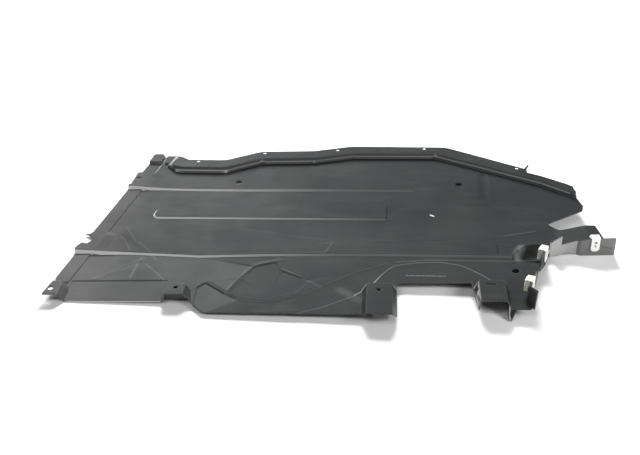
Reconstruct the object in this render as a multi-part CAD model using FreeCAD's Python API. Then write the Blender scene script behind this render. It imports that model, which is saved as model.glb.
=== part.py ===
import FreeCAD, Part
import math
import os

# Underbody shield of a passenger car: one moulded plastic sheet that closes one side of the floor,
# with three plastic clip nuts pushed onto its upright edges. It lies with the side that faces the
# car upwards. X runs along the sheet, Y towards its stepped back flange, Z up. All sizes are in
# millimetres, and plan places are measured from a datum near the middle of the sheet.

# Sheet
wall = 2.5                     # thickness of the moulded sheet
corner_round = 6.0             # plan radius of a plain corner
far_out = 180.0                # how far a raised area is drawn past an edge that stays open

# Edge strip on the left, the side with the broken screw tab
strip_front_x, strip_front_y = -529.0, -131.0
strip_back_x, strip_back_y = -441.0, 300.0
strip_width = 30.0
strip_rise = 2.5
strip_draft = 1.0
ear_reach = 9.0                # how far the two screw tabs stand out of the strip
ear_front_y, ear_back_y = 208.0, 271.0
torn_front_y, torn_back_y = -24.0, 29.0
blend_runs = [(-44.0, 40.0), (204.0, 286.0)]   # where the strip's step fades into the sheet
blend_width, blend_fade = 30.0, 16.0

# Front edge, from left to right
front_left_x, front_left_y = -499.0, -198.0
front_y = -192.0
bulge_start_x, bulge_x, bulge_y = -262.0, -233.0, -222.0
bay_left_x, bay_right_x, bay_y = 122.0, 262.0, -122.0
nose_right_x, nose_right_y = 372.0, -194.0

# Right end: slanted edge, arm, notch and blunt tip
edge_foot_x, edge_foot_y = 359.0, -177.0
edge_post_x, edge_post_y = 380.0, -124.0
edge_mid_x, edge_mid_y = 392.0, -74.0
edge_bowl_x, edge_bowl_y = 411.0, -35.0
arm_root_x, arm_root_y = 425.0, 1.0
arm_kink_x, arm_kink_y = 482.0, 13.0
arm_tip_x, arm_tip_y = 528.0, 16.0
arm_back_x, arm_back_y = 519.0, 61.0
notch_mouth_x, notch_apex_x = 450.0, 429.0
notch_front_y, notch_apex_y = 59.5, 86.0
tip_front_x, tip_front_y = 509.0, 139.0
tip_side_x, tip_side_y = 513.0, 157.0
tip_back_x, tip_back_y = 500.0, 214.0

# Back flange: a ledge and a flat flange above the sheet
flange_rise = 12.5             # top of the flange above the sheet
ledge_rise = 5.0               # top of the ledge above the sheet
ledge_depth = 4.0              # width of the ledge in front of the flange wall
flange_draft = 0.8
flange_round = 45.0            # plan radius where the flange changes direction
flange_end_slope = 7.0         # extra slope of the wall at the flange's left end
flange_bends = [(-391.0, 301.0, 4.0), (-376.0, 285.0, 12.0), (-356.0, 280.5, 20.0),
                (-258.0, 280.5, flange_round), (-181.0, 322.0, flange_round),
                (-62.0, 328.0, flange_round), (24.0, 351.0, flange_round),
                (212.0, 354.5, flange_round), (292.0, 315.0, flange_round),
                (432.0, 243.0, flange_round), (498.0, 195.0, 8.0)]
flange_edge = [(499.0, 216.0, 3.0), (487.0, 226.0, 6.0), (436.0, 259.0, 8.0), (409.0, 272.0, 1.0),
               (409.5, 287.0, 1.0), (417.0, 307.0, 0.4), (414.5, 308.5, 0.4), (404.5, 289.0, 2.0),
               (284.0, 356.0, flange_round), (236.0, 382.5, flange_round), (20.0, 382.0, flange_round),
               (-64.0, 359.0, flange_round), (-185.0, 353.5, flange_round),
               (-262.0, 312.5, flange_round), (-347.0, 313.0, 8.0), (-363.0, 325.0, 4.0),
               (-376.0, 331.0, 2.0)]

# Corner pads at the back left
corner_pad_rise, corner_pad_draft = 9.0, 4.0
corner_pad_y = 306.5
corner_pad_left_x, corner_pad_right_x, corner_pad_back_y = -432.0, -407.0, 343.5
step_pad_rise, step_pad_draft = 3.5, 2.0
step_pad_left_x, step_pad_right_x, step_pad_y, step_pad_back_y = -405.0, -381.0, 310.0, 344.0

# Raised screw tabs along the front
tab_rise = 15.0
corner_tab_draft = 12.0
corner_tab_foot_x, corner_tab_foot_y = -494.0, -145.0
corner_tab_tip_x, corner_tab_back_x, corner_tab_back_y = -535.0, -525.0, -157.0
box_tab_left_x, box_tab_right_x, box_tab_back_y = -311.0, -264.0, -150.0
box_tab_rise = 17.0
box_tab_left_draft, box_tab_right_draft, box_tab_back_draft = 3.0, 8.0, 10.0
box_tab_turn = 7.5             # how far the foot of its right wall runs to the right by the front edge
box_tab_undercut = 7.0         # how far the foot of the tab's front stands behind its top edge
first_tab_left_x, first_tab_right_x, first_tab_back_y = 57.0, 122.5, -134.0
first_tab_lip = 12.0           # how far the plate stands out past the sheet's front edge
second_tab_left_x, second_tab_right_x, second_tab_back_y = 264.0, 330.0, -122.0
second_tab_rise = 18.0
second_tab_turn = 5.5          # how far the foot of its left wall runs to the right by the front edge
front_tab_draft = 9.0
tab_corner_round = 14.0
gusset_x, gusset_width = 326.0, 14.0
gusset_tip_shift, gusset_tip_y = 3.0, -207.0
gusset_foot = 16.0             # length of the edge that the gusset stands on

# Shallow steps and beads of the floor
apron_depth, apron_draft = 2.0, 2.5
apron_bends = [(-240.0, -133.0, 3.0), (-200.0, -165.0, 30.0), (-166.0, -184.0, 30.0),
               (-113.0, -189.0, 40.0), (-58.0, -165.0, 60.0), (30.0, -99.0, 80.0),
               (108.0, -56.0, 90.0), (185.0, -46.0, 60.0)]
hollow_depth, hollow_draft = 1.0, 2.0
hollow_bends = [(-74.0, -224.0, 4.0), (-18.0, -201.0, 60.0), (38.0, -166.0, 60.0),
                (70.0, -137.0, 30.0), (98.0, -87.0, 30.0), (116.0, -66.0, 20.0),
                (154.0, -55.0, 60.0), (200.0, -50.0, 60.0), (246.0, -60.0, 40.0),
                (279.0, -86.0, 40.0), (298.0, -104.0, 4.0)]
ledge_line_y = -45.0
band_depth, band_draft = 1.2, 2.0
band_left_y, band_right_y, band_right_x = -136.0, -129.0, -313.0
facet_depth, facet_draft = 1.0, 3.0
facet_corners = [(-197.0, -164.0, 3.0), (-178.0, -118.0, 20.0), (-152.0, -77.0, 20.0),
                 (-110.0, -62.0, 6.0), (-100.0, -91.0, 8.0), (-40.0, -121.0, 6.0),
                 (-64.0, -158.0, 20.0), (-114.0, -178.0, 20.0), (-168.0, -172.0, 6.0)]
bead_rise = 3.0
bead_half_top, bead_flank = 2.5, 3.5
bead_end_rise, bead_end_flank = 10.0, 7.0
back_bead_y, front_bead_y = 206.0, -41.5
back_bead = [(-374.0, 204.0), (-304.0, 202.5), (-200.0, 203.5), (0.0, 208.5), (158.0, 209.5)]
front_bead = [(-404.0, -41.5), (-264.0, -48.0), (-130.0, -39.5), (0.0, -35.5), (130.0, -32.0), (344.0, -31.5)]
plateau_rise, plateau_draft = 2.5, 3.0
plateau_left_x, plateau_right_x = -389.0, 104.0
plateau_front_y, plateau_back_y = 84.0, 148.0
swell_rise, swell_draft = 1.2, 4.0
swell_left_x, swell_right_x, swell_back_y = -20.0, 322.0, 15.0

# Bowl beside the clip nut on the right edge
bowl_x, bowl_radius, bowl_depth, bowl_flat = 400.0, 56.0, 14.0, 28.0
bowl_bands, bowl_curve = 4, 1.8

# Arm at the right end, with its front wall down to the floor
arm_rise = 14.5
arm_ramp_start_x, arm_ramp_end_x = 440.0, 500.0
arm_drop = 25.0                # floor below the sheet at the arm's free end
arm_wall_end_x, arm_wall_end_y = 553.0, 17.5
arm_wall_kink_back = 4.5       # the left half of the wall stands this far behind the right half
arm_wall_bend_x = 478.0
arm_post_radius = 3.5
arm_arch_x, arm_arch_width, arm_arch_height = 457.0, 34.0, 5.5
arm_bead_start, arm_bead_length, arm_bead_tall, arm_bead_proud = 38.0, 27.0, 1.8, 0.8
arm_bead_drop, arm_bead_fall = 15.5, 7.5   # below the wall's top edge, and towards its free end
tooth_left_x, tooth_x, tooth_rise, tooth_foot_rise = 428.0, 446.0, 23.0, 13.0

# Upright walls on the slanted right edge
flap_rise, flap_lean = 39.0, 2.5
side_wall_rise = 35.0
trim_height = 2 * flap_rise    # reach of the cutting prisms above and below the sheet
bowl_wall_rise = 20.0
bowl_wall_front_x, bowl_wall_front_y = 399.0, -57.0
bowl_wall_back_x, bowl_wall_back_y = 416.0, -19.0

# Holes: place in plan and radius
tab_hole_radius = 4.5
wide_hole_radius = 5.5
ear_hole_x, ear_hole_y = -449.0, 246.5
corner_tab_hole_x, corner_tab_hole_y = -522.5, -181.0
box_tab_hole_x, box_tab_hole_y = -288.0, -173.5
first_tab_hole_x, first_tab_hole_y = 88.0, -163.0
flange_hole_radius = 4.2
flange_holes = [(-324.0, 307.0), (-177.0, 347.5), (-10.5, 365.0), (187.5, 376.0), (388.0, 290.5)]
slot_x, slot_y, slot_length, slot_width = 294.0, -144.0, 20.0, 5.0
drain_hole_radius = 7.5
drain_holes = [(-223.5, 235.5), (258.5, 239.0), (348.5, -77.0)]

# Moulding pips on the apron, a plain row of small eight-sided ones
pip_size, pip_height, pip_count, pip_pitch = 3.0, 0.8, 9, 10.5
pip_row_x, pip_row_y = 130.0, -97.0

# Clip nuts: a U of two legs over a wall's edge, with a screw block on one leg
clip_play = 0.3                # clearance to the wall on each side and above it
clip_width = 17.0
clip_leg = 2.4
clip_leg_length = 27.0
clip_round = 6.0
clip_block_thick, clip_block_height = 8.0, 18.0
clip_head = 3.0                # thickness of the bridge that joins the legs and caps the block
clip_head_short = 2.0          # how far the block stands out past the bridge
clip_ribs = 4
clip_rib_pitch, clip_rib_width, clip_rib_depth = 4.0, 1.4, 0.8
clip_bore_radius = 2.2
clip_bore_drop = 15.0          # screw axis below the wall's top edge
clip_window_width, clip_window_height = 6.5, 4.5
clip_passage = 1.0             # how much wider than the screw bore the wall's hole is
clip_slot_play = 1.5
arm_clip_along, bowl_clip_along, side_clip_along = 27.5, 24.5, 25.0


def vec(x, y, z=0.0):
    return FreeCAD.Vector(x, y, z)


def unit(a, b):
    """Direction in plan from a to b, as (dx, dy)."""
    length = math.hypot(b[0] - a[0], b[1] - a[1])
    return ((b[0] - a[0]) / length, (b[1] - a[1]) / length)


def turns_left(corners):
    """True when the corners run counterclockwise."""
    area = 0.0
    for (ax, ay, _), (bx, by, _) in zip(corners, corners[1:] + corners[:1]):
        area += ax * by - bx * ay
    return area > 0


def inset(corners, distance):
    """The same corners moved inwards, with the radius of each round kept concentric."""
    side = 1.0 if turns_left(corners) else -1.0
    moved = []
    count = len(corners)
    for i, (x, y, radius) in enumerate(corners):
        before = unit(corners[i - 1], (x, y))
        after = unit((x, y), corners[(i + 1) % count])
        cross = before[0] * after[1] - before[1] * after[0]
        dot = before[0] * after[0] + before[1] * after[1]
        normal_x = -side * (before[1] + after[1])
        normal_y = side * (before[0] + after[0])
        scale = distance / (1.0 + dot)
        grown = radius - distance if cross * side > 0 else radius + distance
        if radius > 0:
            grown = max(grown, 0.3)
        moved.append((x + normal_x * scale, y + normal_y * scale, grown if radius > 0 else 0.0))
    return moved


def outline_wire(corners, z):
    """Closed wire of straight runs with an arc at each corner that has a radius."""
    count = len(corners)
    ends = []
    for i, (x, y, radius) in enumerate(corners):
        before = unit((x, y), corners[i - 1])
        after = unit((x, y), corners[(i + 1) % count])
        half = math.acos(max(-1.0, min(1.0, before[0] * after[0] + before[1] * after[1]))) / 2
        if radius <= 0 or half > math.radians(89.7):
            ends.append((vec(x, y, z), None, vec(x, y, z)))
            continue
        back = radius / math.tan(half)
        out = radius / math.sin(half) - radius
        middle = (before[0] + after[0], before[1] + after[1])
        length = math.hypot(*middle)
        start = vec(x + before[0] * back, y + before[1] * back, z)
        stop = vec(x + after[0] * back, y + after[1] * back, z)
        mid = vec(x + middle[0] / length * out, y + middle[1] / length * out, z)
        ends.append((start, mid, stop))
    edges = []
    for i, (start, mid, stop) in enumerate(ends):
        if mid is not None:
            edges.append(Part.Arc(start, mid, stop).toShape())
        following = ends[(i + 1) % count][0]
        edges.append(Part.LineSegment(stop, following).toShape())
    return Part.Wire(edges)


def prism(corners, low, high):
    return Part.Face(outline_wire(corners, low)).extrude(vec(0, 0, high - low))


def tapered(lower, upper, low, high):
    """Solid between two like outlines at two heights."""
    return Part.makeLoft([outline_wire(lower, low), outline_wire(upper, high)], True, True)


def inner_step(rise, draft):
    """How far the inner face of a sloped wall stands behind its outer face, for an even sheet."""
    return wall * (math.hypot(rise, draft) - draft) / rise


def raise_area(sheet, limits, corners, base, rise, draft, top=None):
    """Lifts the sheet inside the corners by rise, with sloped walls and a hollow underside."""
    top = top or inset(corners, draft)
    outer = tapered(corners, top, base, base + rise).fuse(prism(corners, base - wall, base))
    step = inner_step(rise, draft)
    inner_low = inset(corners, step)
    inner_top = inset(top, step)
    inner = tapered(inner_low, inner_top, base - wall, base + rise - wall)
    inner = inner.fuse(prism(inner_low, base - 2 * wall, base - wall))
    return sheet.fuse(outer.common(limits)).cut(inner)


def sink_area(sheet, limits, corners, base, depth, draft):
    """Lowers the sheet inside the corners by depth, with sloped sides."""
    step = inner_step(depth, draft)
    outer_low = inset(corners, draft - step)
    outer_top = inset(corners, -step)
    outer = tapered(outer_low, outer_top, base - depth - wall, base - wall)
    outer = outer.fuse(prism(outer_top, base - wall, base - wall / 2))
    hollow = tapered(inset(corners, draft), corners, base - depth, base)
    hollow = hollow.fuse(prism(corners, base, base + wall))
    return sheet.fuse(outer.common(limits)).cut(hollow)


def bead(stations, drop, low, slimmer):
    """Ridge along X through stations of (x, y, half width at foot, half width on top, height)."""
    wires = []
    for x, y, foot, top, high in stations:
        slope = (foot - top) / high
        low_half = foot - slope * (low + drop) - slimmer
        top_half = top - slimmer
        head = high - drop
        shape = [(y - low_half, low), (y + low_half, low), (y + top_half, head), (y - top_half, head)]
        points = [vec(x, py, pz) for py, pz in shape]
        wires.append(Part.makePolygon(points + points[:1]))
    return Part.makeLoft(wires, True, True)


def add_bead(sheet, limits, stations):
    """Adds a ridge and hollows it from below, so that the sheet keeps its thickness."""
    outer = bead(stations, 0.0, -wall / 2, 0.0)
    inner = bead(stations, wall, -wall * 1.2, wall / 4)
    return sheet.fuse(outer.common(limits)).cut(inner)


def strip_between(points, thickness):
    """Outline of a wall of even thickness centred on a line of plan points."""
    left, right = [], []
    last = len(points) - 1
    for i, point in enumerate(points):
        before = unit(points[i - 1], point) if i > 0 else unit(point, points[i + 1])
        after = unit(point, points[i + 1]) if i < last else before
        dot = before[0] * after[0] + before[1] * after[1]
        scale = thickness / 2 / (1.0 + dot)
        nx, ny = -(before[1] + after[1]) * scale, (before[0] + after[0]) * scale
        left.append((point[0] + nx, point[1] + ny, 0.0))
        right.append((point[0] - nx, point[1] - ny, 0.0))
    return left + right[::-1]


def upright(points, low, high, lean=(0.0, 0.0)):
    """Wall of the sheet's thickness standing on a line of plan points."""
    foot = strip_between(points, wall)
    head = [(x + lean[0], y + lean[1], radius) for x, y, radius in foot]
    return tapered(foot, head, low, high)


# Outline of the whole sheet, seen from above
def strip_point(y):
    """Place on the straight outer edge of the strip at a given y."""
    share = (y - strip_front_y) / (strip_back_y - strip_front_y)
    return strip_front_x + share * (strip_back_x - strip_front_x)


def front_corners():
    first_lip_y = bulge_y - first_tab_lip
    return [(front_left_x, front_left_y, 2.0),
            (bulge_start_x, front_y, 10.0),
            (bulge_x, bulge_y, 22.0),
            (first_tab_left_x, bulge_y + 4.0, 0.0),
            (first_tab_left_x + front_tab_draft, first_lip_y, 0.0),
            (first_tab_right_x - front_tab_draft, first_lip_y, 0.0),
            (bay_left_x, bulge_y + 2.5, 2.0),
            (bay_left_x, bay_y, 8.0),
            (bay_right_x, bay_y + 6.0, 4.0),
            (second_tab_left_x + second_tab_turn, nose_right_y - 1.0, 0.0),
            (nose_right_x, nose_right_y, 5.0)]


def right_corners():
    return [(edge_foot_x, edge_foot_y, 0.0),
            (edge_post_x, edge_post_y, 0.0),
            (edge_mid_x, edge_mid_y, 12.0),
            (edge_bowl_x, edge_bowl_y, 10.0),
            (arm_root_x, arm_root_y, 0.0),
            (arm_kink_x, arm_kink_y, 0.0),
            (arm_tip_x, arm_tip_y, 0.0),
            (arm_back_x, arm_back_y, 3.0),
            (notch_mouth_x, notch_front_y, 8.0),
            (notch_apex_x, notch_apex_y, 2.5),
            (tip_front_x, tip_front_y, 6.0),
            (tip_side_x, tip_side_y, 4.0),
            (tip_back_x, tip_back_y - 9.0, 4.0)]


def left_corners():
    """Corner pads, screw tab, torn screw tab with its spike, and the corner tab, back to front."""
    pads = [(step_pad_right_x - 1.0, step_pad_back_y, 2.0),
            (corner_pad_right_x, step_pad_back_y, 0.0),
            (corner_pad_right_x - corner_pad_draft, corner_pad_back_y, 0.0),
            (corner_pad_left_x, corner_pad_back_y, 6.0),
            (strip_back_x + 3.5, corner_pad_y + 4.0, 2.0),
            (strip_point(ear_back_y + 8.0), ear_back_y + 8.0, 3.0)]
    ear = [(strip_point(ear_back_y), ear_back_y, 2.0),
           (strip_point(ear_back_y) - ear_reach, ear_back_y, 4.0),
           (strip_point(ear_front_y) - ear_reach / 3, ear_front_y, 4.0),
           (strip_point(ear_front_y - 11.0), ear_front_y - 11.0, 4.0)]
    torn_x = strip_point((torn_front_y + torn_back_y) / 2)
    torn = [(strip_point(torn_back_y), torn_back_y, 2.0),
            (torn_x + 1.0, torn_back_y - 8.0, 0.0),
            (torn_x - ear_reach, torn_back_y - 10.5, 0.4),
            (torn_x - 0.5, torn_back_y - 13.0, 0.0),
            (torn_x + 8.0, torn_back_y - 21.0, 0.0),
            (torn_x + 6.5, torn_back_y - 24.5, 0.0),
            (torn_x + 11.0, torn_back_y - 30.0, 0.0),
            (torn_x + 2.5, torn_front_y + 10.5, 0.0),
            (torn_x - ear_reach, torn_front_y + 13.5, 2.0),
            (torn_x - ear_reach - 7.0, torn_front_y, 5.0),
            (strip_point(torn_front_y - 30.0), torn_front_y - 30.0, 4.0)]
    tab = [(strip_front_x, strip_front_y, 2.0),
           (corner_tab_back_x, corner_tab_back_y, 3.0),
           (corner_tab_tip_x, front_left_y - 1.0, 2.0)]
    return pads + ear + torn + tab


def sheet_corners():
    return front_corners() + right_corners() + flange_edge + left_corners()


def beyond_back(corners):
    """Closes a front line into an area that runs out over the back edge."""
    far_y = max(y for _, y, _ in corners) + far_out
    first, last = corners[0], corners[-1]
    lean = (far_y - first[1]) / 4
    return corners + [(last[0] + far_out, last[1] - far_out / 3, 0.0),
                      (last[0] + far_out, far_y, 0.0),
                      (first[0] + lean, far_y, 0.0)]


def flange_area():
    """Area of the flange, drawn past the open back edge."""
    return beyond_back(list(flange_bends))


def flange_top():
    """Top corners of the flange, whose left end slopes more than its front."""
    top = inset(flange_area(), flange_draft)
    for i in (0, -1):
        top[i] = (top[i][0] + flange_end_slope, top[i][1], top[i][2])
    return top


def ledge_area():
    return inset(flange_area(), -ledge_depth)


def strip_area():
    """Area of the raised strip, from its crease out over the left edge."""
    dx, dy = unit((strip_front_x, strip_front_y), (strip_back_x, strip_back_y))
    front = (strip_front_x + strip_width * dy, strip_front_y - strip_width * dx)
    run = math.hypot(strip_back_x - strip_front_x, strip_back_y - strip_front_y)
    back = (front[0] + dx * run * 1.1, front[1] + dy * run * 1.1)
    return [(front[0] - dx * 8, front[1] - dy * 8, 2.0), (back[0], back[1], 0.0),
            (back[0] - far_out, back[1], 0.0), (front[0] - far_out, front[1] - dy * 8, 0.0)]


def strip_blend(front, back):
    """Wedge that fades the strip's step into the sheet behind a bead."""
    dx, dy = unit((strip_front_x, strip_front_y), (strip_back_x, strip_back_y))
    wires = []
    for y, high in ((front, strip_rise), (back - blend_fade, strip_rise), (back, wall / 25)):
        x = strip_point(y)
        triangle = []
        for out, z in ((strip_width - wall, -wall / 2), (strip_width - wall, high),
                       (strip_width + strip_draft, high), (strip_width + blend_width, -wall / 2)):
            triangle.append(vec(x + out * dy, y - out * dx, z))
        wires.append(Part.makePolygon(triangle + triangle[:1]))
    return Part.makeLoft(wires, True, True)


def corner_tab_area():
    front = front_left_y - far_out
    return [(corner_tab_foot_x - 5.0, front, 0.0),
            (corner_tab_foot_x, corner_tab_foot_y - 22.0, 16.0),
            (corner_tab_foot_x - 6.0, corner_tab_foot_y, 14.0),
            (corner_tab_foot_x - far_out, corner_tab_foot_y, 0.0),
            (corner_tab_foot_x - far_out, front, 0.0)]


def front_tab_area(left, right, back):
    """Area of a raised tab that stays open at the front edge."""
    front = back - far_out
    return [(left, front, 0.0), (right, front, 0.0),
            (right, back, tab_corner_round), (left, back, tab_corner_round)]


def second_tab_foot():
    """Foot of the second tab, whose left wall turns to the right towards the front."""
    turn = second_tab_turn * far_out / abs(nose_right_y - second_tab_back_y)
    foot = front_tab_area(second_tab_left_x, second_tab_right_x, second_tab_back_y)
    foot[0] = (second_tab_left_x + turn, foot[0][1], 0.0)
    return foot


def box_tab_foot():
    """Foot of the box tab, whose right wall turns to the right towards the front."""
    turn = box_tab_turn * far_out / abs(front_y - box_tab_back_y)
    foot = front_tab_area(box_tab_left_x, box_tab_right_x, box_tab_back_y)
    foot[1] = (box_tab_right_x + turn, foot[1][1], 0.0)
    return foot


def box_tab_top():
    """Top corners of the box tab, whose right wall slopes far more than its left one."""
    front = box_tab_back_y - far_out
    left = box_tab_left_x + box_tab_left_draft
    right = box_tab_right_x - box_tab_right_draft
    back = box_tab_back_y - box_tab_back_draft
    small_round = tab_corner_round / 3
    return [(left, front, 0.0), (right, front, 0.0), (right, back, small_round), (left, back, small_round)]


def box_tab_front():
    """Front wall of the box tab, which leans back under the tab's plate."""
    top_y = front_y + wall / 4
    foot_y = top_y + box_tab_undercut
    side = [vec(box_tab_left_x, top_y, box_tab_rise), vec(box_tab_left_x, top_y + wall, box_tab_rise),
            vec(box_tab_left_x, foot_y + wall, -wall), vec(box_tab_left_x, foot_y, -wall)]
    plate = Part.Face(Part.makePolygon(side + side[:1]))
    plate = plate.extrude(vec(box_tab_right_x + 2 * box_tab_turn - box_tab_left_x, 0, 0))
    body = tapered(box_tab_foot(), box_tab_top(), 0.0, box_tab_rise)
    return plate.common(body.fuse(prism(box_tab_foot(), -wall, 0.0)))


def open_back_area(left, right, front, skew=0.0):
    back = front + far_out
    return [(left, front, 3.0), (right, front, 3.0), (right + skew, back, 0.0), (left, back, 0.0)]


def apron_area():
    front = bulge_y - far_out
    right = edge_bowl_x + far_out
    left = bulge_start_x + box_tab_turn
    return apron_bends + [(right, ledge_line_y, 0.0), (right, front, 0.0), (left, front, 0.0),
                          (left, box_tab_back_y, 4.0)]


def hollow_area():
    front = bulge_y - far_out
    return hollow_bends + [(hollow_bends[-1][0], front, 0.0), (hollow_bends[0][0] - 40.0, front, 0.0)]


def band_area():
    front = front_left_y - far_out
    return [(front_left_x + 2.0, band_left_y, 4.0), (front_left_x + 2.0, front, 0.0),
            (band_right_x, front, 0.0), (band_right_x, band_right_y, 3.0)]


def plateau_area():
    return [(plateau_left_x, plateau_front_y, 14.0),
            (plateau_right_x, plateau_front_y + 6.0, 8.0),
            (plateau_right_x, plateau_back_y, 8.0),
            (plateau_left_x + 56.0, plateau_back_y, 24.0),
            (plateau_left_x + 6.0, plateau_front_y + 36.0, 16.0)]


def swell_area():
    return [(swell_left_x, front_bead[-2][1], 6.0), (swell_right_x, front_bead[-1][1], 6.0),
            (swell_right_x, swell_back_y, 12.0), (swell_left_x + 14.0, swell_back_y, 12.0)]


def bead_stations(start_y, bends):
    """A bead that is tall at the strip's edge and runs low along its bends."""
    start_x = strip_point(start_y) - 2 * ear_reach
    tall_top = bead_half_top * 2
    stations = [(start_x, start_y, tall_top + bead_end_flank, tall_top, bead_end_rise)]
    for x, y in bends:
        stations.append((x, y, bead_half_top + bead_flank, bead_half_top, bead_rise))
    return stations


def bowl_dish(depth, radius, flat, top):
    """Round dish below the sheet: flat bottom, then ever steeper bands up to its rim."""
    profile = [vec(0, 0, top), vec(0, 0, -depth)]
    for i in range(bowl_bands + 1):
        share = i / bowl_bands
        profile.append(vec(flat + (radius - flat) * share, 0, -depth + (depth + top) * share ** bowl_curve))
    dish = Part.Face(Part.makePolygon(profile + profile[:1])).revolve(vec(0, 0), vec(0, 0, 1), 360)
    dish.translate(vec(bowl_x, ledge_line_y))
    return dish


def half_space_behind(y, low, high):
    size = bowl_radius * 3
    return Part.makeBox(size, size, high - low, vec(bowl_x - size / 2, y, low))


def add_bowl(sheet, limits):
    """Sinks the bowl behind the ledge line, with an upright face along that line."""
    depth = bowl_depth
    shell = bowl_dish(depth + wall, bowl_radius + wall, bowl_flat + wall / 2, -wall / 2)
    shell = shell.common(half_space_behind(ledge_line_y - wall, -trim_height, trim_height))
    hollow = bowl_dish(depth, bowl_radius, bowl_flat, 0.0)
    hollow = hollow.common(half_space_behind(ledge_line_y, -trim_height, trim_height))
    above = prism([(bowl_x - bowl_radius * 0.8, ledge_line_y, 0.0),
                   (bowl_x + bowl_radius, ledge_line_y, 0.0),
                   (bowl_x + bowl_radius, ledge_line_y + bowl_radius * 0.5, 0.0),
                   (bowl_x - bowl_radius * 0.8, ledge_line_y + bowl_radius * 0.5, 0.0)], 0.0, wall)
    return sheet.fuse(shell.common(limits)).cut(hollow).cut(above)


# Rest plane: the sheet lies on the strip's outer edge, the gusset's tip and the arm's front wall
def rest_direction():
    return unit((strip_front_x, strip_front_y), (strip_back_x, strip_back_y))


def rest_span(x, y):
    """Distance in plan from the strip's outer edge."""
    dx, dy = rest_direction()
    return (x - strip_front_x) * dy - (y - strip_front_y) * dx


def rest_slope():
    return (arm_drop - wall) / rest_span(arm_wall_end_x, arm_wall_end_y)


def floor_height(x, y):
    """Height of the floor below the datum, in the sheet's own plane."""
    return -wall - rest_slope() * rest_span(x, y)


def lay_down(shape):
    """Tips a shape about the strip's outer edge onto the floor it rests on."""
    dx, dy = rest_direction()
    angle = math.degrees(math.atan(rest_slope()))
    shape.rotate(vec(strip_front_x, strip_front_y, -wall), vec(dx, dy, 0), -angle)
    shape.translate(vec(0, 0, wall))
    return shape


def below_floor():
    """Block that holds everything lower than the floor, in the sheet's own plane."""
    reach = 3 * abs(strip_front_x)
    block = Part.makeBox(2 * reach, 2 * reach, trim_height, vec(-reach, -reach, -trim_height))
    dx, dy = rest_direction()
    angle = math.degrees(math.atan(rest_slope()))
    block.translate(vec(0, 0, -wall))
    block.rotate(vec(strip_front_x, strip_front_y, -wall), vec(dx, dy, 0), angle)
    return block


# Arm, gusset and upright walls
def arm_surface(x):
    """Top of the arm above the sheet: a ramp, then level."""
    share = (x - arm_ramp_start_x) / (arm_ramp_end_x - arm_ramp_start_x)
    return arm_rise * max(0.0, min(1.0, share))


def arm_profile(shift, start_x):
    end_x = arm_back_x + arm_tip_x - arm_ramp_end_x
    return [vec(start_x, 0, shift), vec(arm_ramp_start_x, 0, shift),
            vec(arm_ramp_end_x, 0, arm_rise + shift), vec(end_x, 0, arm_rise + shift)]


def arm_plate(limits):
    """Ramp and level top of the arm, cut to the sheet's outline."""
    top = arm_profile(0.0, arm_ramp_start_x - wall)
    bottom = arm_profile(-wall, arm_ramp_start_x - wall)
    ring = Part.makePolygon(top + bottom[::-1] + top[:1])
    plate = Part.Face(ring).extrude(vec(0, notch_front_y - arm_root_y + 2 * arm_kink_y, 0))
    plate.translate(vec(0, arm_root_y - arm_kink_y / 2, 0))
    return plate.common(limits)


def arm_floor_gap():
    """The flat sheet that gives way to the arm."""
    low_y = arm_root_y - arm_kink_y
    high_y = arm_back_y + wall
    return prism([(arm_ramp_start_x, low_y, 0.0), (arm_wall_end_x, low_y, 0.0),
                  (arm_wall_end_x, high_y, 0.0), (arm_ramp_start_x, high_y, 0.0)],
                 -2 * wall, wall)


def arm_wall_line():
    """Plan line of the arm's front wall, from its post to its free end."""
    half = wall / 2
    return [(arm_root_x, arm_root_y + half),
            (arm_wall_bend_x, arm_kink_y - 1.0 + half),
            (arm_wall_bend_x + 7.0, arm_kink_y - arm_wall_kink_back + half),
            (arm_wall_end_x, arm_wall_end_y + half - 3.0)]


def arm_wall():
    """Front wall of the arm with its end post and the pointed tooth above it."""
    line = arm_wall_line()
    full = upright(line, -2 * arm_drop, arm_rise)
    top = [vec(arm_root_x - wall, 0, trim_height), vec(arm_root_x - wall, 0, tooth_foot_rise),
           vec(tooth_left_x, 0, tooth_foot_rise), vec(tooth_x, 0, tooth_rise),
           vec(tooth_x, 0, arm_surface(tooth_x) + 2.0),
           vec(arm_ramp_end_x, 0, arm_rise), vec(arm_ramp_end_x, 0, trim_height)]
    over = Part.Face(Part.makePolygon(top + top[:1])).extrude(vec(0, 4 * arm_kink_y, 0))
    over.translate(vec(0, arm_root_y - arm_kink_y, 0))
    taller = upright(line[:2], -2 * arm_drop, tooth_rise)
    post = Part.makeCylinder(arm_post_radius, tooth_foot_rise + 2 * arm_drop,
                             vec(arm_root_x, arm_root_y + wall / 2, -2 * arm_drop))
    return full.fuse(taller).cut(over).fuse(post)


def arm_arch():
    """Shallow arch cut into the foot of the arm's wall."""
    half = arm_arch_width / 2
    radius = (half * half + arm_arch_height ** 2) / (2 * arm_arch_height)
    centre_z = floor_height(arm_arch_x, arm_kink_y) + arm_arch_height - radius
    centre = vec(arm_arch_x, -arm_kink_y, centre_z)
    return Part.makeCylinder(radius, 4 * arm_kink_y, centre, vec(0, 1, 0))


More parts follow.
